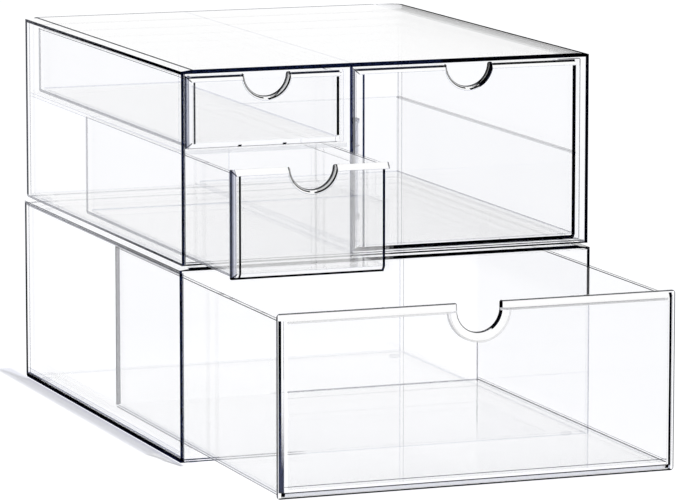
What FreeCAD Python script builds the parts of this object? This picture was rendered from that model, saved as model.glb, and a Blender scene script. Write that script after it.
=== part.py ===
import FreeCAD, Part
import os
from FreeCAD import Vector

# Clear acrylic makeup organizer: two stacked cabinets with four drawers.
# Millimetres. X runs to the right, Y to the back, Z up. The origin is on the
# ground in the middle of the footprint, which takes in the open wide drawer.

# ---- driving dimensions -------------------------------------------------

# Cabinets
CASE_DEPTH = 358.0
CASE_HEIGHT = 134.0           # one cabinet, without its pads
UPPER_WIDTH = 300.0
LOWER_MARGIN = 1.75           # lower cabinet past the upper one, each side
SIDE_T = 2.8                  # side sheets and back sheet
BASE_T = 2.4
LID_T = 2.8
LID_STRIP_WIDTH = 8.0         # lid slopes down over this width at each side
LID_STRIP_DROP = 1.0
LID_EASE = 0.5                # eased front and back edge of the lid
SIDE_HEEL_RADIUS = 2.5        # rounded lower rear corner of each side
SHEET_EASE = 0.3              # flame-polished long edges

# Division of the upper cabinet
LEFT_BAY_WIDTH = 119.3
DIVIDER_T = 2.1
MIDDLE_BAY_HEIGHT = 73.0      # base to the underside of the shelf
SHELF_T = 2.8

# Pads under both cabinets
PAD_DIAMETER = 8.0
PAD_HEIGHT = 2.1
PAD_INSET = 12.0              # pad centre from the cabinet's edges
PAD_EDGE = 0.5                # chamfer round the foot of each pad

# Strips that the tubs slide on
RUNNER_WIDTH = 6.0
RUNNER_OUTREACH = 1.0         # strip shows this much outside the tub wall
UPPER_RUNNER_T = 2.5
LOWER_RUNNER_T = 6.0
RUNNER_SETBACK = 2.0          # from the rear of the closed front plate

# Front plates
PLATE_T = 5.0
BEVEL_DEPTH = 3.0
PLATE_CORNER = 1.2
WIDE_PLATE_CORNER = 2.5
BEVEL_WIDTH = 4.0
WIDE_BEVEL_WIDTH = 5.3
WIDE_RIM_WIDTH = 6.5          # second, flatter facet inside the wide bevel
WIDE_RIM_DEPTH = 2.0          # depth it would reach at the outline
NOTCH_WIDTH = 31.0
NOTCH_DEPTH = 16.0
WIDE_NOTCH_DEPTH = 20.4
NOTCH_BEVEL_WIDTH = 2.5
NOTCH_LIP_RADIUS = 1.5

# Tubs behind the plates
TUB_WALL_T = 3.2
TUB_FLOOR_T = 2.2
TUB_SIDE_INSET = 2.0          # plate stands out past the tub at each side
WIDE_TUB_SIDE_INSET = 1.0
TUB_REAR_GAP = 12.2           # closed tub to the back sheet
MIDDLE_TUB_REAR_GAP = 34.2    # the middle drawer is shorter
TUB_HEEL_RADIUS = 2.0

# Play of the drawers in their bays
PLAY_LEFT = 0.8
PLAY_RIGHT = 2.3
WIDE_PLAY = 7.0               # each side of the wide drawer
PLATE_GAP_REAR = 0.6          # closed plate to the shelf edge behind it
TALL_GAP_BELOW = 0.4          # plate above the bay floor
TALL_GAP_ABOVE = 1.1          # plate below the lid
MIDDLE_GAP_BELOW = 1.0
MIDDLE_LAP_ABOVE = 1.9        # plate covers this much of the shelf edge
TOP_GAP_BELOW = 1.4
TOP_GAP_ABOVE = 1.5
WIDE_GAP_BELOW = 3.2
WIDE_GAP_ABOVE = 2.5

# Height of the tub walls
WALL_DROP = 2.4               # below the top of the plate
WIDE_WALL_DROP = 4.3
TALL_TUB_HEIGHT = 59.6        # low tub, its plate is twice as high

# How far two of the drawers stand open
MIDDLE_PULL = 91.0
WIDE_PULL = 169.0

# ---- places worked out from them ----------------------------------------

FRONT = (WIDE_PULL - CASE_DEPTH) / 2
BACK = FRONT + CASE_DEPTH
BACK_INNER = BACK - SIDE_T
DRAWER_LENGTH = BACK_INNER - TUB_REAR_GAP - FRONT
MIDDLE_DRAWER_LENGTH = BACK_INNER - MIDDLE_TUB_REAR_GAP - FRONT
LOWER_Z = PAD_HEIGHT
UPPER_Z = LOWER_Z + CASE_HEIGHT + PAD_HEIGHT
CEILING = CASE_HEIGHT - LID_T     # of a bay, above its cabinet's underside
LOWER_WIDTH = UPPER_WIDTH + 2 * LOWER_MARGIN
UPPER_LEFT = -UPPER_WIDTH / 2
LEFT_BAY = (UPPER_LEFT + SIDE_T, UPPER_LEFT + SIDE_T + LEFT_BAY_WIDTH)
RIGHT_BAY = (LEFT_BAY[1] + DIVIDER_T, -UPPER_LEFT - SIDE_T)
LOWER_BAY = (-LOWER_WIDTH / 2 + SIDE_T, LOWER_WIDTH / 2 - SIDE_T)
LOWER_FLOOR = LOWER_Z + BASE_T
UPPER_FLOOR = UPPER_Z + BASE_T
SHELF_UNDERSIDE = UPPER_FLOOR + MIDDLE_BAY_HEIGHT
SHELF_TOP = SHELF_UNDERSIDE + SHELF_T
LOWER_CEILING = LOWER_Z + CEILING
UPPER_CEILING = UPPER_Z + CEILING
PLATE_REAR = FRONT + PLATE_T

os.makedirs("parts", exist_ok=True)


# ---- shared forms ---------------------------------------------------------

def save(shape, node):
    shape.exportStep("parts/%s.step" % node)


def sheet(x, y, z):
    """A sheet cut square, given as three (low, high) pairs."""
    size = [high - low for low, high in (x, y, z)]
    return Part.makeBox(*size, Vector(x[0], y[0], z[0]))


def edges_along(shape, axis, low=None, high=None):
    """Straight edges along an axis whose middle is between two corners."""
    found = []
    for edge in shape.Edges:
        ends = [v.Point for v in edge.Vertexes]
        if len(ends) < 2:
            continue
        run = ends[1] - ends[0]
        if run.Length < 1e-6 or abs(run.dot(axis)) / run.Length < 0.999:
            continue
        middle = (ends[0] + ends[1]) * 0.5
        if low and any(m < l - 1e-6 for m, l in zip(middle, low)):
            continue
        if high and any(m > h + 1e-6 for m, h in zip(middle, high)):
            continue
        found.append(edge)
    return found


def polygon(points):
    return Part.makePolygon([Vector(*p) for p in points + points[:1]])


X_AXIS = Vector(1, 0, 0)
Y_AXIS = Vector(0, 1, 0)
Z_AXIS = Vector(0, 0, 1)
FAR = 1000.0


# ---- cabinets -------------------------------------------------------------

def lid(width, top):
    """Top sheet, flat in the middle and sloping down along both sides."""
    half = width / 2
    shoulder = half - LID_STRIP_WIDTH
    eaves = top - LID_STRIP_DROP
    under = top - LID_T
    section = polygon([
        (-half, FRONT, under),
        (half, FRONT, under),
        (half, FRONT, eaves),
        (shoulder, FRONT, top),
        (-shoulder, FRONT, top),
        (-half, FRONT, eaves),
    ])
    solid = Part.Face(section).extrude(Vector(0, CASE_DEPTH, 0))
    ridge = edges_along(solid, X_AXIS, low=(-FAR, -FAR, top))
    return solid.makeChamfer(LID_EASE, ridge)


def side(x0, bottom):
    """Side sheet on its edge, under the lid, with a rounded rear heel."""
    solid = sheet(
        (x0, x0 + SIDE_T), (FRONT, BACK), (bottom, bottom + CEILING))
    heel = edges_along(solid, X_AXIS, (-FAR, BACK, -FAR), (FAR, FAR, bottom))
    return solid.makeFillet(SIDE_HEEL_RADIUS, heel)


def cabinet(name, width, bottom):
    """The five sheets of a cabinet, cemented edge to face."""
    half = width / 2
    inner = (SIDE_T - half, half - SIDE_T)
    save(side(-half, bottom), name + "_side_left")
    save(side(half - SIDE_T, bottom), name + "_side_right")
    save(lid(width, bottom + CASE_HEIGHT), name + "_lid")
    base = sheet(inner, (FRONT, BACK_INNER), (bottom, bottom + BASE_T))
    front_rim = edges_along(base, X_AXIS, high=(FAR, FRONT, FAR))
    save(base.makeChamfer(SHEET_EASE, front_rim), name + "_base")
    back = sheet(inner, (BACK_INNER, BACK), (bottom, bottom + CEILING))
    save(back, name + "_back")


def pads(name, width, bottom):
    """Four round clear pads under the corners."""
    reach = width / 2 - PAD_INSET
    rows = {"front": FRONT + PAD_INSET, "rear": BACK - PAD_INSET}
    columns = {"left": -reach, "right": reach}
    for row, y in rows.items():
        for column, x in columns.items():
            foot = Vector(x, y, bottom - PAD_HEIGHT)
            pad = Part.makeCylinder(PAD_DIAMETER / 2, PAD_HEIGHT, foot)
            rims = [e for e in pad.Edges if e.isClosed()]
            low_rim = min(rims, key=lambda e: e.CenterOfMass.z)
            pad = pad.makeChamfer(PAD_EDGE, [low_rim])
            save(pad, "%s_pad_%s_%s" % (name, row, column))


def runners(name, tub, floor, thickness):
    """Two strips on a bay floor, one under each wall of the tub."""
    y = (PLATE_REAR + RUNNER_SETBACK, BACK_INNER)
    z = (floor, floor + thickness)
    left = tub[0] - RUNNER_OUTREACH
    right = tub[1] + RUNNER_OUTREACH
    save(sheet((left, left + RUNNER_WIDTH), y, z), name + "_runner_left")
    save(sheet((right - RUNNER_WIDTH, right), y, z), name + "_runner_right")


# ---- drawers --------------------------------------------------------------

def notch_outline(x, y, top, half, depth):
    """Closed U with its mouth above the plate, in the plane at y."""
    above = top + half
    spring = top - depth + half
    corners = [
        Vector(x - half, y, above),
        Vector(x - half, y, spring),
        Vector(x + half, y, spring),
        Vector(x + half, y, above),
    ]
    lowest = Vector(x, y, spring - half)
    return Part.Wire([
        Part.makeLine(corners[0], corners[1]),
        Part.Arc(corners[1], lowest, corners[2]).toShape(),
        Part.makeLine(corners[2], corners[3]),
        Part.makeLine(corners[3], corners[0]),
    ])


def rectangle(x, y, z):
    return polygon([
        (x[0], y, z[0]),
        (x[1], y, z[0]),
        (x[1], y, z[1]),
        (x[0], y, z[1]),
    ])


def front_plate(x, y, z, corner, depth, facets):
    """Plate with a mitred bevel round its face and a U-shaped finger notch.

    Each facet of the bevel is given as its width on the face, its width
    beside the notch and its depth at the outline. The facets follow the
    whole outline, so one band frames the face and the notch.
    """
    middle = (x[0] + x[1]) / 2
    half = NOTCH_WIDTH / 2
    blank = sheet(x, (y, y + PLATE_T), z)
    blank = blank.makeFillet(corner, edges_along(blank, Y_AXIS))

    # finger notch, right through, with its two lips rounded over
    opening = Part.Face(notch_outline(middle, y, z[1], half, depth))
    blank = blank.cut(opening.extrude(Vector(0, PLATE_T, 0)))
    reach = half + NOTCH_LIP_RADIUS
    lips = edges_along(
        blank, Y_AXIS,
        (middle - reach, -FAR, z[1]), (middle + reach, FAR, z[1]))
    blank = blank.makeFillet(NOTCH_LIP_RADIUS, lips)

    plate = blank
    for width, notch_width, fall in facets:
        # what lies inside the tapered front and the square rear
        shoulder = y + fall
        inner_x = (x[0] + width, x[1] - width)
        inner_z = (z[0] + width, z[1] - width)
        taper = Part.makeLoft(
            [rectangle(inner_x, y, inner_z), rectangle(x, shoulder, z)],
            True, True)
        envelope = taper.fuse(sheet(x, (shoulder, y + PLATE_T), z))
        plate = plate.common(envelope)

        # beside the notch, widest at the face and run out at the shoulder
        funnel = Part.makeLoft([
            notch_outline(middle, y, z[1], half + notch_width,
                          depth + notch_width),
            notch_outline(middle, shoulder, z[1], half, depth),
        ], True, True)
        plate = plate.cut(funnel)
    return plate.removeSplitter()


def drawer(name, x, low, high, floor, wall_top, pull, length, inset, form):
    """Plate, floor and three walls of one drawer.

    x is the plate's (left, right), low and high its bottom and top, floor
    the underside of the tub, inset the plate's overhang past each wall,
    and form the plate's corner, notch depth and bevel facets.
    """
    y = FRONT - pull
    rear = y + length
    plate = front_plate(x, y, (low, high), *form)
    save(plate, name + "_front")
    tub = (x[0] + inset, x[1] - inset)
    inner = (tub[0] + TUB_WALL_T, tub[1] - TUB_WALL_T)
    behind = y + PLATE_T
    for label, x0 in (("left", tub[0]), ("right", inner[1])):
        wall = sheet((x0, x0 + TUB_WALL_T), (behind, rear), (floor, wall_top))
        heel = edges_along(
            wall, X_AXIS, (-FAR, rear, -FAR), (FAR, FAR, floor))
        wall = wall.makeFillet(TUB_HEEL_RADIUS, heel)
        save(wall, "%s_wall_%s" % (name, label))
    inner_rear = rear - TUB_WALL_T
    bed = sheet(inner, (behind, inner_rear), (floor, floor + TUB_FLOOR_T))
    save(bed, name + "_floor")
    back = sheet(inner, (inner_rear, rear), (floor, wall_top))
    save(back, name + "_wall_back")
    return tub


# ---- lower cabinet with the wide drawer -------------------------------------

cabinet("lower", LOWER_WIDTH, LOWER_Z)
pads("lower", LOWER_WIDTH, LOWER_Z)

wide_top = LOWER_CEILING - WIDE_GAP_ABOVE
wide_tub = drawer(
    "wide_drawer",
    (LOWER_BAY[0] + WIDE_PLAY, LOWER_BAY[1] - WIDE_PLAY),
    LOWER_FLOOR + WIDE_GAP_BELOW, wide_top,
    LOWER_FLOOR + LOWER_RUNNER_T, wide_top - WIDE_WALL_DROP,
    WIDE_PULL, DRAWER_LENGTH, WIDE_TUB_SIDE_INSET,
    (WIDE_PLATE_CORNER, WIDE_NOTCH_DEPTH, [
        (WIDE_BEVEL_WIDTH, WIDE_BEVEL_WIDTH, BEVEL_DEPTH),
        (WIDE_RIM_WIDTH, WIDE_RIM_WIDTH, WIDE_RIM_DEPTH),
    ]))
runners("lower", wide_tub, LOWER_FLOOR, LOWER_RUNNER_T)

# ---- upper cabinet ----------------------------------------------------------

cabinet("upper", UPPER_WIDTH, UPPER_Z)
pads("upper", UPPER_WIDTH, UPPER_Z)

divider = sheet(
    (LEFT_BAY[1], RIGHT_BAY[0]), (FRONT, BACK_INNER),
    (UPPER_FLOOR, UPPER_CEILING))
save(divider, "upper_divider")
shelf = sheet(
    LEFT_BAY, (PLATE_REAR + PLATE_GAP_REAR, BACK_INNER),
    (SHELF_UNDERSIDE, SHELF_TOP))
save(shelf, "upper_shelf")

# ---- three drawers of the upper cabinet ---------------------------------------


def upper_drawer(name, bay, floor, low, high, tub_top, pull, length):
    """Drawer in a bay of the upper cabinet, with its two runners."""
    x = (bay[0] + PLAY_LEFT, bay[1] - PLAY_RIGHT)
    tub = drawer(
        name + "_drawer", x, low, high,
        floor + UPPER_RUNNER_T, tub_top, pull, length, TUB_SIDE_INSET,
        (PLATE_CORNER, NOTCH_DEPTH, [
            (BEVEL_WIDTH, NOTCH_BEVEL_WIDTH, BEVEL_DEPTH),
        ]))
    runners(name + "_bay", tub, floor, UPPER_RUNNER_T)


top_plate = UPPER_CEILING - TOP_GAP_ABOVE
upper_drawer(
    "top", LEFT_BAY, SHELF_TOP, SHELF_TOP + TOP_GAP_BELOW, top_plate,
    top_plate - WALL_DROP, 0.0, DRAWER_LENGTH)

middle_plate = SHELF_UNDERSIDE + MIDDLE_LAP_ABOVE
upper_drawer(
    "middle", LEFT_BAY, UPPER_FLOOR, UPPER_FLOOR + MIDDLE_GAP_BELOW,
    middle_plate, middle_plate - WALL_DROP, MIDDLE_PULL,
    MIDDLE_DRAWER_LENGTH)

upper_drawer(
    "tall", RIGHT_BAY, UPPER_FLOOR, UPPER_FLOOR + TALL_GAP_BELOW,
    UPPER_CEILING - TALL_GAP_ABOVE,
    UPPER_FLOOR + UPPER_RUNNER_T + TALL_TUB_HEIGHT, 0.0, DRAWER_LENGTH)
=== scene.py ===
import math

import bpy
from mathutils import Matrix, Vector


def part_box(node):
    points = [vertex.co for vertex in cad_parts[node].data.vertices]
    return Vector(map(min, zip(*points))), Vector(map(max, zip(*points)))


# Two clear acrylic cabinets, one standing on the other, with four drawers.

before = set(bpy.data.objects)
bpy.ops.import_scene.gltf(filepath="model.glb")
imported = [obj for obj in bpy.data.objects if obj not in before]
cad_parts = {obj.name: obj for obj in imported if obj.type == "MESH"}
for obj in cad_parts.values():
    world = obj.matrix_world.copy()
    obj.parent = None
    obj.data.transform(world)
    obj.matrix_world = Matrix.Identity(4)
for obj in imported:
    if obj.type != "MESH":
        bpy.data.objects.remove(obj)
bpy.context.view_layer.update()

MM = 0.001

# ---- acrylic tones --------------------------------------------------------------
# The share of light left after one face of a sheet. Clear sheet comes first, then the
# deeper tones laid along the sawn, flame polished and cemented edges:
# painted shade, painted shadow and painted reflection, standing in for how light bends
# and mirrors in the clear sheet.
WATER = (0.9945, 0.9947, 0.9957)
TRAY = (0.9885, 0.9887, 0.9900)
TRAY_FAR = (0.982, 0.983, 0.987)
# Painted shade: a dimmer clear tone for the right-hand sheets.
SHADED_CLEAR = (0.973, 0.9735, 0.976)
PEARL = (0.94, 0.942, 0.948)
TRAY_NEAR = (0.925, 0.926, 0.930)
MILK = (0.88, 0.885, 0.90)
LILAC = (0.77, 0.78, 0.84)
ICE = (0.75, 0.77, 0.85)
FOG = (0.74, 0.74, 0.78)
ASH = (0.74, 0.74, 0.75)
MIST = (0.74, 0.75, 0.80)
NICKEL = (0.60, 0.60, 0.61)
TIN = (0.58, 0.58, 0.60)
PALE_BLUE = (0.50, 0.52, 0.62)
PALE_STEEL = (0.50, 0.52, 0.60)
PEWTER = (0.46, 0.465, 0.49)
ZINC = (0.42, 0.42, 0.44)
FLINT = (0.40, 0.40, 0.42)
BLUE_GREY = (0.38, 0.40, 0.52)
LEAD = (0.32, 0.32, 0.33)
LAVENDER = (0.30, 0.32, 0.45)
SLATE = (0.24, 0.245, 0.27)
DEEP_BLUE = (0.20, 0.22, 0.33)
STEEL = (0.16, 0.18, 0.26)
SMOKE = (0.07, 0.073, 0.085)
COAL = (0.07, 0.08, 0.12)
MIDNIGHT = (0.025, 0.033, 0.065)
DUSK = (0.022, 0.03, 0.075)
NAVY = (0.004, 0.007, 0.026)
INK = (0.0008, 0.001, 0.003)
MIRROR = (1.0, 1.0, 1.0)

HAZE = 0.990            # the cloudier patches of a clear sheet
HAZE_SCALE = 9.0
HAZE_DETAIL = 3.0
HAZE_SWIRL = 0.6
SMEAR = 0.05            # roughness of the polish
RIPPLE = 0.02
RIPPLE_HEIGHT = 0.002
GLANCE_POWER = 5.0      # how fast the mirror rises at a glance
HEAD_ON = 0.012         # mirror share seen square on

# ---- reaches, in millimetres -------------------------------------------------------
# Most of these reaches bound the strips of painted shade, painted shadow and painted
# reflection.
FAR = 400.0             # past the far side of any sheet
OUTSIDE = -99.0         # where a reach that is one number starts
FACE = 0.12             # skin of a flat face
POLISHED = 0.3          # flame polished front edge
EASED = 0.5             # eased front edge of a lid
LID_TOP = 1.3           # top of a lid, with its sloping borders
BEVEL = 3.3             # bevelled face of a front plate
NOTCH_HALF = 15.5       # half the width of a finger notch
NOTCH_DEPTH = 16.0
WIDE_NOTCH_DEPTH = 20.4
GLEAMING = (4.6, FAR)   # from the right end, where bevels gleam
FACET = (0.35, 0.985)   # how far a bevel still faces the front
FACET_GLEAM = 0.85

# Mirror strength of the faces that look across, along and up.
SHEET_POLISH = (0.35, 0.9, 0.9)
LID_POLISH = (0.35, 0.9, 1.5)
MIRROR_POLISH = (2.0, 0.9, 0.9)
PLATE_POLISH = (0.5, 0.9, 0.9)

FULL_SHADE = -1.0
LID_SHADE = 12.0
SEEN_WHITE = ("Is Camera Ray", "Is Glossy Ray", "Is Transmission Ray")


class Shader:
    """Adds and joins the nodes of one material, or of the world."""

    def __init__(self, owner, output):
        owner.use_nodes = True
        self.tree = owner.node_tree
        self.tree.nodes.clear()
        self.out = self.add(output)

    def add(self, kind, **inputs):
        made = self.tree.nodes.new("ShaderNode" + kind)
        for name, value in inputs.items():
            self.feed(value, made.inputs[name])
        return made

    def feed(self, value, socket):
        if isinstance(value, bpy.types.NodeSocket):
            self.tree.links.new(value, socket)
        elif socket.type == "RGBA":
            socket.default_value = (*value, 1.0)
        else:
            socket.default_value = value

    def math(self, operation, *values):
        made = self.tree.nodes.new("ShaderNodeMath")
        made.operation = operation
        for value, socket in zip(values, made.inputs):
            self.feed(value, socket)
        return made.outputs[0]

    def join(self, kind, *parts):
        made = self.add(kind)
        for part, socket in zip(parts, made.inputs):
            self.feed(part, socket)
        return made.outputs[0]

    def seen_ray(self):
        """1 for rays that show the white set to the eye, straight or mirrored."""
        path = self.add("LightPath")
        share = path.outputs[SEEN_WHITE[0]]
        for name in SEEN_WHITE[1:]:
            share = self.math("MAXIMUM", share, path.outputs[name])
        return share

    def close(self, surface):
        self.feed(surface, self.out.inputs["Surface"])


class PaintedLightSheet(Shader):
    """The acrylic of one sheet, with its painted shade, painted shadow and painted
    reflection drawn in millimetres from its own sides.
    """

    def __init__(self, name, low, high, notch_depth=0.0):
        self.material = bpy.data.materials.new(name + "_acrylic")
        super().__init__(self.material, "OutputMaterial")
        self.place = self.add("TexCoord").outputs["Object"]
        x, y, z = self.apart(self.place)
        self.reach = {
            "left": self.from_side(x, low[0], 1),
            "right": self.from_side(x, high[0], -1),
            "front": self.from_side(y, low[1], 1),
            "rear": self.from_side(y, high[1], -1),
            "foot": self.from_side(z, low[2], 1),
            "head": self.from_side(z, high[2], -1)}
        normal = self.add("NewGeometry").outputs["True Normal"]
        square = [self.math("ABSOLUTE", part) for part in self.apart(normal)]
        self.reach.update(zip(("across", "along", "up"), square))
        if notch_depth:
            self.notch_and_mitre(x, z, low, high, notch_depth)

    def from_side(self, part, edge, sense):
        return self.math("MULTIPLY", self.math("SUBTRACT", part, edge), sense / MM)

    def apart(self, vector):
        made = self.add("SeparateXYZ", Vector=vector)
        return made.outputs[0], made.outputs[1], made.outputs[2]

    def notch_and_mitre(self, x, z, low, high, depth):
        """Distances from the U of the notch, the outline and the mitred corners."""
        rightward = self.from_side(x, (low[0] + high[0]) / 2, 1)
        beside = self.math("ABSOLUTE", rightward)
        spring = high[2] - (depth - NOTCH_HALF) * MM
        under = self.math("MINIMUM", self.from_side(z, spring, 1), 0.0)
        around = self.math("SQRT", self.math(
            "ADD", self.math("MULTIPLY", beside, beside),
            self.math("MULTIPLY", under, under)))
        side = self.math("MINIMUM", self.reach["left"], self.reach["right"])
        level = self.math("MINIMUM", self.reach["foot"], self.reach["head"])
        self.reach["rightward"] = rightward
        self.reach["notch"] = self.math("SUBTRACT", around, NOTCH_HALF)
        self.reach["edge"] = self.math("MINIMUM", side, level)
        self.reach["mitre"] = self.math("SUBTRACT", side, level)

    def blend(self, share, under, over):
        made = self.tree.nodes.new("ShaderNodeMix")
        made.data_type = "RGBA"
        for value, socket in ((share, 0), (under, 6), (over, 7)):
            self.feed(value, made.inputs[socket])
        return made.outputs[2]

    def within(self, reaches):
        """1 where every named distance lies in its own span, and 0 elsewhere."""
        inside = None
        for side, span in reaches.items():
            start, stop = span if isinstance(span, tuple) else (OUTSIDE, span)
            half = (stop - start) / 2
            here = self.math("COMPARE", self.reach[side], start + half, half)
            inside = here if inside is None else self.math("MULTIPLY", inside, here)
        return inside

    def fade(self, side, start, stop, first, last):
        """A tone that changes evenly from one distance to another, for painted shade
        that deepens along a sheet.
        """
        share = self.join("MapRange", self.reach[side], start, stop)
        return self.blend(share, first, last)

    def tint(self, clear, strips, haze):
        """The clear tone, with the strips of painted shade, painted shadow and painted
        reflection laid over it in their order.
        """
        if callable(clear):
            tint = clear(self)
        else:
            cloudy = tuple(part * HAZE for part in clear)
            tint = self.blend(haze, cloudy, clear)
        for tone, reaches in strips:
            if callable(tone):
                tone = tone(self)
            tint = self.blend(self.within(reaches), tint, tone)
        return tint

    def mirror(self, tint, polish):
        """The mirror share: high at a glance and on bevels, none on dark edges."""
        facing = self.add("LayerWeight", Blend=0.5).outputs["Facing"]
        glance = self.math("POWER", facing, GLANCE_POWER)
        mirror = self.math("MULTIPLY_ADD", glance, 1.0 - HEAD_ON, HEAD_ON)
        if "mitre" in self.reach:
            bevel = self.within({"along": FACET, "right": GLEAMING})
            mirror = self.math("MAXIMUM", mirror,
                               self.math("MULTIPLY", bevel, FACET_GLEAM))
        shine = self.math("MULTIPLY", self.reach["across"], polish[0])
        for side, share in zip(("along", "up"), polish[1:]):
            shine = self.math("MULTIPLY_ADD", self.reach[side], share, shine)
        shine = self.math("MULTIPLY", shine, self.add("RGBToBW", Color=tint).outputs[0])
        return self.math("MULTIPLY", mirror, shine)

    def show(self, clear, strips, polish, shade):
        """Tinted clear sheet with its painted shade and reflection lines, under a thin
        polished skin.
        """
        haze = self.add("TexNoise", Vector=self.place, Scale=HAZE_SCALE,
                        Detail=HAZE_DETAIL, Distortion=HAZE_SWIRL).outputs[0]
        tint = self.tint(clear, strips, haze)
        through = self.add("BsdfTransparent", Color=tint)
        ripple = self.add("Bump", Strength=RIPPLE, Distance=RIPPLE_HEIGHT, Height=haze)
        gloss = self.add("BsdfGlossy", Color=MIRROR,
                         Roughness=self.math("MULTIPLY", haze, SMEAR),
                         Normal=ripple.outputs[0])
        surface = self.join("MixShader", self.mirror(tint, polish),
                            through.outputs[0], gloss.outputs[0])
        if shade != FULL_SHADE:
            surface = self.let_light_by(surface, shade)
        self.close(surface)
        return self.material

    def let_light_by(self, surface, shade):
        """The same surface, which lamp light passes, dimmed by its left border."""
        tint = WATER
        if shade:
            tint = self.blend(self.within({"left": shade}), WATER, LILAC)
        lit = self.add("BsdfTransparent", Color=tint)
        shadow_ray = self.add("LightPath").outputs["Is Shadow Ray"]
        return self.join("MixShader", shadow_ray, surface, lit.outputs[0])


# A strip is a tone of painted shade, painted shadow or painted reflection, and the
# reaches that bound it, from the sheet's own sides: one number reaches from the side to
# there, and two are a span. On a front plate, rightward counts from the middle, and
# notch, edge and mitre from the U of the notch, the outline and the corner mitres.

def strip(tone, **reaches):
    return tone, reaches


def past(start):
    return start, FAR


def deepen(side, start, stop, first, last):
    return lambda painted_sheet: painted_sheet.fade(side, start, stop, first, last)


# ---- cabinet sheets -------------------------------------------------------------
# Painted shade and painted reflection: dark lines along the lid's edges and borders,
# the left face darker towards the front, and grey lines where the borders mirror.
UPPER_LID = [
    strip(MIST, head=FACE, right=(174.9, 177.6)),
    strip(SLATE, head=FACE, rear=4.5),
    strip(SMOKE, head=LID_TOP, left=(6.8, 8.8)),
    strip(deepen("right", 4, 21, FLINT, FOG), head=LID_TOP, right=21.0),
    strip(MIST, head=LID_TOP, right=(22.0, 24.5)),
    strip(deepen("front", 120, 330, INK, SMOKE), left=FACE),
    strip(INK, head=LID_TOP, right=5.0),
    strip(INK, right=FACE),
    strip(NAVY, front=EASED),
    strip(INK, front=EASED, right=110)]

# Painted shade and painted reflection: dark lines along the lower lid's edges, its left
# face darker towards the front.
LOWER_LID = [
    strip(deepen("front", 60, 330, SMOKE, SLATE), left=FACE, foot=0.8),
    strip(deepen("front", 60, 330, INK, SLATE), left=FACE, head=(0.8, 1.8)),
    strip(INK, right=0.6),
    strip(SLATE, rear=FACE, head=0.5),
    strip(SLATE, rear=FACE, foot=0.5),
    strip(WATER, front=FACE),
    strip(INK, front=EASED, head=1.5),
    strip(INK, front=5.0, head=0.1),
    strip(NAVY, front=EASED, left=1.8)]

# Painted shade: dark lines along the upper left side's rear, foot, top and front edges,
# its left face darker towards the front.
UPPER_SIDE_LEFT = [
    strip(SMOKE, left=FACE, rear=4.4),
    strip(deepen("front", 60, 300, SMOKE, PEWTER), left=FACE, foot=1.7),
    strip(deepen("front", 120, 330, INK, SMOKE), left=FACE, head=0.4),
    strip(SLATE, front=POLISHED),
    strip(NAVY, front=POLISHED, left=1.7)]

# Painted shade and painted reflection: dark lines along the lower left side's edges,
# darker towards the bottom at the rear, and grey bands above the foot where the edge
# mirrors.
LOWER_SIDE_LEFT = [
    strip(MIST, left=FACE, foot=(4.0, 4.7)),
    strip(MILK, left=FACE, foot=(4.7, 7.4)),
    strip(MIST, left=FACE, foot=(7.4, 8.0)),
    strip(PEWTER, left=FACE, head=1.0),
    strip(deepen("head", 15, 80, SMOKE, INK), left=FACE, rear=4.4),
    # Painted shadow along the foot, and within it the darkest foot band, painted shade
    # that is navy at the front and deepens towards the rear.
    strip(LAVENDER, foot=3.0),
    strip(deepen("front", 0, 90, NAVY, INK), foot=(0.3, 2.4)),
    strip(SLATE, front=POLISHED),
    strip(NAVY, front=POLISHED, left=1.8)]

# Painted shade and painted reflection: grey and dark lines along the right-hand sheets'
# edges.
OUTER_RIGHT = [
    strip(SLATE, right=FACE, head=0.6),
    strip(PEWTER, right=FACE, rear=1.0),
    strip(PEWTER, right=FACE, front=1.0)]

UPPER_SIDE_RIGHT = OUTER_RIGHT + [
    strip(PEWTER, foot=FACE),
    strip(SLATE, right=FACE, foot=0.8),
    strip(MILK, left=FACE, rear=1.5),
    strip(MILK, front=POLISHED),
    strip(INK, front=POLISHED, right=2.4)]

LOWER_SIDE_RIGHT = OUTER_RIGHT + [
    strip(MIST, foot=FACE),
    strip(MILK, left=FACE, rear=1.5),
    strip(PEARL, front=POLISHED),
    strip(MIST, front=POLISHED, right=1.0),
    strip(INK, front=POLISHED, right=2.1, head=36.0)]

# Painted shade: the lower right side dimmer in its top 34 mm, fading to clear by 46 mm.
LOWER_RIGHT_CLEAR = deepen("head", 34, 46, SHADED_CLEAR, WATER)

# Painted shade and painted reflection: pale and dark lines along the edges of the
# bases, shelf, divider and backs, the lower base's front dark along its left part.
UPPER_BASE = [
    strip(MILK, left=FACE),
    strip(MILK, right=FACE),
    strip(PEARL, rear=FACE),
    strip(SMOKE, front=POLISHED, head=0.5),
    strip(INK, front=POLISHED, foot=1.1)]

LOWER_BASE = [
    strip(MILK, left=FACE),
    strip(PEARL, right=FACE),
    strip(PEARL, rear=FACE),
    strip(deepen("left", 78, 90, DUSK, MILK), front=POLISHED, head=0.8),
    strip(deepen("left", 78, 90, DUSK, MIST), front=POLISHED, foot=0.9)]

SHELF = [
    strip(MIST, left=FACE, head=0.5),
    strip(MIST, left=FACE, foot=0.5),
    strip(MILK, front=FACE)]

DIVIDER = [
    strip(MIST, head=0.4, right=FACE),
    strip(DUSK, front=POLISHED)]

UPPER_BACK = [
    strip(PEARL, foot=0.6),
    strip(MILK, foot=(2.2, 2.9), front=FACE),
    strip(PEWTER, rear=FACE, left=0.6),
    strip(PEWTER, rear=FACE, right=0.5),
    strip(PEWTER, rear=FACE, foot=0.6)]

LOWER_BACK = [
    strip(PEWTER, rear=FACE, left=0.6),
    strip(MIST, rear=FACE, right=0.5),
    strip(MILK, rear=FACE, foot=0.6)]

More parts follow.
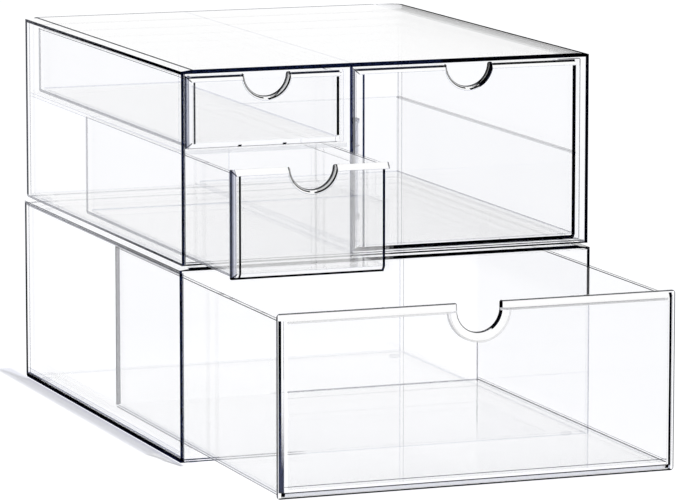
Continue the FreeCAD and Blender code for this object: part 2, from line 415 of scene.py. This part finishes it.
# ---- drawer tubs ------------------------------------------------------------------
# Painted shade and painted reflection: dark rims and pale and grey lines along the tub
# walls' edges and feet.
TUB_RIMS = [strip(SLATE, left=FACE, head=0.5), strip(SLATE, right=FACE, head=0.5)]

WALL_LEFT = [strip(PEWTER, left=FACE, foot=1.8)] + TUB_RIMS + [
    strip(PEWTER, rear=FACE, left=1.4)]

TALL_WALL_LEFT = [
    strip(MILK, left=FACE, foot=1.2),
    strip(SLATE, left=FACE, head=0.5),
    strip(MIST, right=FACE, head=0.5)]

WIDE_WALL_LEFT = [
    strip(MILK, left=FACE, foot=(0.6, 1.6)),
    strip(SLATE, left=FACE, foot=0.6),
    strip(PEWTER, left=FACE, foot=(1.6, 2.2)),
    strip(SMOKE, left=FACE, head=0.6),
    strip(SMOKE, right=FACE, head=0.6),
    strip(LEAD, rear=FACE),
    strip(SMOKE, rear=FACE, left=0.6),
    strip(SLATE, rear=FACE, right=0.5)]

WALL_RIGHT = TUB_RIMS + [
    strip(MIST, left=FACE, foot=(2.2, 2.9)),
    strip(MIST, left=FACE, rear=1.5)]

MIDDLE_WALL_RIGHT = TUB_RIMS + [
    strip(MILK, left=FACE, foot=(2.2, 2.8)),
    strip(MIST, left=FACE, rear=1.5)]

TALL_WALL_RIGHT = [
    strip(ASH, head=1.6),
    strip(PEWTER, left=FACE, foot=(2.2, 2.8)),
    strip(MILK, left=FACE, rear=1.5)]

WIDE_WALL_RIGHT = [
    strip(SMOKE, left=FACE, head=0.6),
    strip(SMOKE, right=FACE, head=0.6),
    strip(SMOKE, left=FACE, foot=(2.2, 2.8)),
    strip(PEWTER, left=FACE, foot=(3.6, 4.1)),
    strip(deepen("head", 80, 84, WATER, SLATE), left=FACE, rear=2.0)]

WALL_BACK = [
    strip(MILK, head=0.5),
    strip(MIST, front=FACE, foot=(2.0, 2.8))]

WIDE_WALL_BACK = [
    strip(deepen("left", 112, 124, WATER, PEWTER), front=FACE, foot=(2.0, 2.9))]

TUB_FLOOR = [
    strip(MILK, left=FACE),
    strip(MILK, right=FACE),
    strip(MILK, front=FACE)]

# Painted shade: the wide floor darker towards the front.
WIDE_FLOOR_CLEAR = deepen("front", 10, 190, TRAY_NEAR, TRAY_FAR)

# ---- front plates -------------------------------------------------------------------
# Painted shade and painted reflection: the bevels' dark and blue-grey bands, the black
# lines inside the sides and the crescents round the notch stand in for light bent and
# mirrored in the thick plate.
OUTLINE = [
    strip(PEWTER, front=BEVEL, head=0.05, right=past(3.6)),
    strip(SMOKE, notch=0.55)]

SMALL_FRONT = OUTLINE + [
    strip(MIST, notch=(2.5, 3.0), front=3.2),
    strip(PEWTER, notch=(0.5, 1.4), rightward=past(3.0)),
    strip(INK, notch=(1.4, 2.3), rightward=past(1.0)),
    strip(INK, notch=(0.9, 1.7), rightward=(-FAR, -2.0), front=3.2),
    strip(MIST, head=(3.9, 4.4), left=past(4.0), right=past(4.0), front=FACE)]

TOP_FRONT = SMALL_FRONT + [
    strip(COAL, left=0.9, front=BEVEL),
    strip(PALE_BLUE, left=(0.9, 1.9), front=BEVEL),
    strip(STEEL, left=(1.9, 2.5), front=BEVEL),
    strip(ICE, left=(2.5, 4.0), front=BEVEL),
    strip(INK, mitre=(-0.5, 0.5), left=(0.5, 4.0), front=BEVEL),
    strip(SLATE, foot=0.6, front=BEVEL, right=past(6.0)),
    strip(MIST, right=(1.6, 2.3), front=BEVEL),
    strip(INK, foot=1.6, front=BEVEL, rightward=(-20.2, -17.6)),
    strip(INK, foot=1.6, front=BEVEL, rightward=(12.2, 14.8)),
    strip(SMOKE, front=BEVEL, left=(5.2, 6.6), foot=(3.6, 45.6)),
    strip(INK, front=BEVEL, right=(5.6, 7.5), foot=(5.0, 45.6))]

MIDDLE_FRONT = SMALL_FRONT + [
    strip(MIDNIGHT, left=1.5, front=BEVEL),
    strip(DEEP_BLUE, left=(1.5, 2.3), front=BEVEL),
    strip(BLUE_GREY, left=(2.3, 3.3), front=BEVEL),
    strip(STEEL, left=(3.3, 3.7), front=BEVEL),
    strip(MILK, left=(3.7, 4.4), front=BEVEL),
    strip(NAVY, mitre=(-0.6, 0.6), left=(0.5, 4.0), front=BEVEL),
    strip(INK, foot=1.7, front=BEVEL, right=past(7.0)),
    strip(SMOKE, front=BEVEL, right=(3.6, 4.3), head=4.0),
    strip(INK, front=BEVEL, left=(5.4, 6.9), foot=(1.2, 69.6)),
    strip(NAVY, front=BEVEL, right=(7.0, 8.8), foot=(1.3, 69.6))]

TALL_FRONT = SMALL_FRONT + [
    strip(PEWTER, left=(1.9, 2.5), front=BEVEL),
    strip(MILK, left=(2.5, 4.0), front=BEVEL),
    strip(SLATE, right=0.8, front=BEVEL),
    strip(INK, right=0.9, front=BEVEL, head=5.0),
    strip(INK, head=0.4, front=BEVEL, right=17.0),
    strip(SMOKE, mitre=(-0.5, 0.5), left=(0.5, 4.0), front=BEVEL),
    strip(SLATE, foot=0.5, front=BEVEL),
    strip(DUSK, front=BEVEL, left=(6.3, 7.8), foot=(1.6, 122.8)),
    strip(INK, front=BEVEL, right=(4.6, 7.2), foot=(2.4, 122.8)),
    strip(INK, notch=(0.6, 2.6), rightward=past(8.0)),
    strip(INK, front=BEVEL, foot=(1.7, 3.3), left=past(6.3), right=past(5.0))]

WIDE_FRONT = OUTLINE + [
    strip(SMOKE, edge=0.8, front=BEVEL),
    strip(INK, notch=1.3, rightward=past(9.0)),
    strip(TIN, head=(5.2, 6.6), left=past(6.5), right=past(125.0)),
    strip(ZINC, head=(4.8, 6.4), left=past(150.0), right=past(6.5)),
    strip(NICKEL, notch=(5.2, 6.6), head=(6.5, 40)),
    strip(PALE_STEEL, foot=(1.0, 4.3), left=past(2.8), right=past(3.0)),
    strip(SMOKE, foot=(4.0, 4.9), left=past(2.8), right=past(3.0)),
    strip(INK, foot=(0.2, 1.1), left=past(1.6), right=past(1.6)),
    strip(SLATE, front=BEVEL, foot=(8.4, 8.9), left=past(3.0), right=past(6.0)),
    strip(INK, foot=(1.9, 4.6), left=(2.6, 5.2)),
    strip(INK, foot=(2.0, 4.4), right=(4.4, 6.8)),
    strip(SLATE, front=BEVEL, left=(4.0, 4.4), foot=(4.6, 118.5)),
    strip(deepen("foot", 25, 90, DUSK, INK), front=BEVEL, left=(1.1, 2.8),
          foot=(4.6, 118.5)),
    strip(deepen("foot", 20, 80, DUSK, WATER), front=BEVEL, left=(2.8, 4.2),
          foot=(4.6, 80.0)),
    strip(INK, front=BEVEL, right=(3.1, 5.2), foot=(4.4, 121.5)),
    strip(PEWTER, front=BEVEL, right=(6.1, 6.5), foot=(4.6, 118.5)),
    strip(PEWTER, front=BEVEL, right=(2.2, 2.6), foot=(4.6, 118.5))]

FRONTS = {
    "top_drawer_front": (TOP_FRONT, NOTCH_DEPTH),
    "middle_drawer_front": (MIDDLE_FRONT, NOTCH_DEPTH),
    "tall_drawer_front": (TALL_FRONT, NOTCH_DEPTH),
    "wide_drawer_front": (WIDE_FRONT, WIDE_NOTCH_DEPTH)}

# Clear tone, strips and polish. A node takes the first row whose words are in its
# name.
SHEETS = (
    ("upper_lid", WATER, UPPER_LID, LID_POLISH),
    ("lower_lid", WATER, LOWER_LID, SHEET_POLISH),
    ("upper_side_left", WATER, UPPER_SIDE_LEFT, SHEET_POLISH),
    ("lower_side_left", WATER, LOWER_SIDE_LEFT, SHEET_POLISH),
    ("upper_side_right", SHADED_CLEAR, UPPER_SIDE_RIGHT, SHEET_POLISH),
    ("lower_side_right", LOWER_RIGHT_CLEAR, LOWER_SIDE_RIGHT, SHEET_POLISH),
    ("upper_base", WATER, UPPER_BASE, SHEET_POLISH),
    ("lower_base", WATER, LOWER_BASE, SHEET_POLISH),
    ("upper_back", WATER, UPPER_BACK, SHEET_POLISH),
    ("lower_back", WATER, LOWER_BACK, SHEET_POLISH),
    ("_shelf", WATER, SHELF, SHEET_POLISH),
    ("_divider", WATER, DIVIDER, SHEET_POLISH),
    ("tall_drawer_wall_left", WATER, TALL_WALL_LEFT, SHEET_POLISH),
    ("wide_drawer_wall_left", WATER, WIDE_WALL_LEFT, SHEET_POLISH),
    ("_wall_left", WATER, WALL_LEFT, SHEET_POLISH),
    ("middle_drawer_wall_right", WATER, MIDDLE_WALL_RIGHT, MIRROR_POLISH),
    ("tall_drawer_wall_right", WATER, TALL_WALL_RIGHT, SHEET_POLISH),
    ("wide_drawer_wall_right", SHADED_CLEAR, WIDE_WALL_RIGHT, SHEET_POLISH),
    ("_wall_right", WATER, WALL_RIGHT, SHEET_POLISH),
    ("wide_drawer_wall_back", WATER, WIDE_WALL_BACK, SHEET_POLISH),
    ("_wall_back", WATER, WALL_BACK, SHEET_POLISH),
    ("wide_drawer_floor", WIDE_FLOOR_CLEAR, TUB_FLOOR, SHEET_POLISH),
    ("_floor", TRAY, TUB_FLOOR, SHEET_POLISH),
    ("_runner_", WATER, [], SHEET_POLISH),
    ("_pad_", MILK, [], SHEET_POLISH))

# The left sides dim the lamp all over, and the upper lid only along its left
# border. Every other sheet lets the lamp by.
SHADES = (("_side_left", FULL_SHADE), ("upper_lid", LID_SHADE))

for name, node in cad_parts.items():
    low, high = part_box(name)
    shade = next((reach for part, reach in SHADES if part in name), 0.0)
    if name in FRONTS:
        strips, notch_depth = FRONTS[name]
        made = PaintedLightSheet(name, low, high, notch_depth).show(
            WATER, strips, PLATE_POLISH, shade)
    else:
        clear, strips, polish = next(row[1:] for row in SHEETS if row[0] in name)
        made = PaintedLightSheet(name, low, high).show(clear, strips, polish, shade)
    node.data.materials.clear()
    node.data.materials.append(made)

# ---- table, surroundings, lamp and camera --------------------------------------------
TABLE_SIZE = 12.0
TABLE_DROP = 0.0002         # just under the pads
TABLE_WHITE = (0.80, 0.80, 0.80)
TABLE_GLOW = (0.975, 0.98, 1.0)
TABLE_GLOW_STRENGTH = 0.42
ROOM_FILL = (0.90, 0.92, 1.0)
ROOM_FILL_STRENGTH = 0.16
ROOM_WHITE = (1.0, 1.0, 1.0)

bpy.ops.object.select_all(action="DESELECT")
bpy.ops.mesh.primitive_plane_add(size=TABLE_SIZE, location=(0, 0, -TABLE_DROP))
table = bpy.context.object
table.name = "table_top"
paper = bpy.data.materials.new("white_paper")
top = Shader(paper, "OutputMaterial")
matte = top.add("BsdfDiffuse", Color=TABLE_WHITE)
glow = top.add("Emission", Color=TABLE_GLOW, Strength=top.math(
    "MULTIPLY", top.seen_ray(), TABLE_GLOW_STRENGTH))
top.close(top.join("AddShader", matte.outputs[0], glow.outputs[0]))
table.data.materials.append(paper)

world = bpy.data.worlds.new("white_studio")
bpy.context.scene.world = world
room = Shader(world, "OutputWorld")
fill = room.add("Background", Color=ROOM_FILL, Strength=ROOM_FILL_STRENGTH)
white = room.add("Background", Color=ROOM_WHITE, Strength=1.0)
room.close(room.join("MixShader", room.seen_ray(), fill.outputs[0], white.outputs[0]))

SUN_PATH = Vector((-0.011, 0.050, -0.272))
SUN_STRENGTH = 2.1
SUN_WIDTH = math.radians(0.6)
bpy.ops.object.light_add(type="SUN", location=(0.2, -0.6, 2.0))
lamp = bpy.context.object
lamp.name = "overhead_lamp"
lamp.data.energy = SUN_STRENGTH
lamp.data.angle = SUN_WIDTH
lamp.rotation_euler = SUN_PATH.to_track_quat("-Z", "Y").to_euler()

CAMERA_PLACE = (-1.22315, -3.24863, 0.66415)
CAMERA_PITCH = 0.15356681
CAMERA_YAW = -0.36008523
CAMERA_LENS = 263.05
CAMERA_SENSOR = 36.0
CAMERA_REACH = 100.0
bpy.ops.object.camera_add(location=CAMERA_PLACE)
camera = bpy.context.object
camera.rotation_euler = (math.pi / 2 - CAMERA_PITCH, 0.0, CAMERA_YAW)
camera.data.sensor_fit = "HORIZONTAL"
camera.data.sensor_width = CAMERA_SENSOR
camera.data.lens = CAMERA_LENS
camera.data.clip_end = CAMERA_REACH

# Light passes many sheets one behind the other, so it needs many steps.
scene = bpy.context.scene
scene.camera = camera
scene.view_settings.view_transform = "Standard"
scene.cycles.max_bounces = 24
scene.cycles.glossy_bounces = 12
scene.cycles.transparent_max_bounces = 128
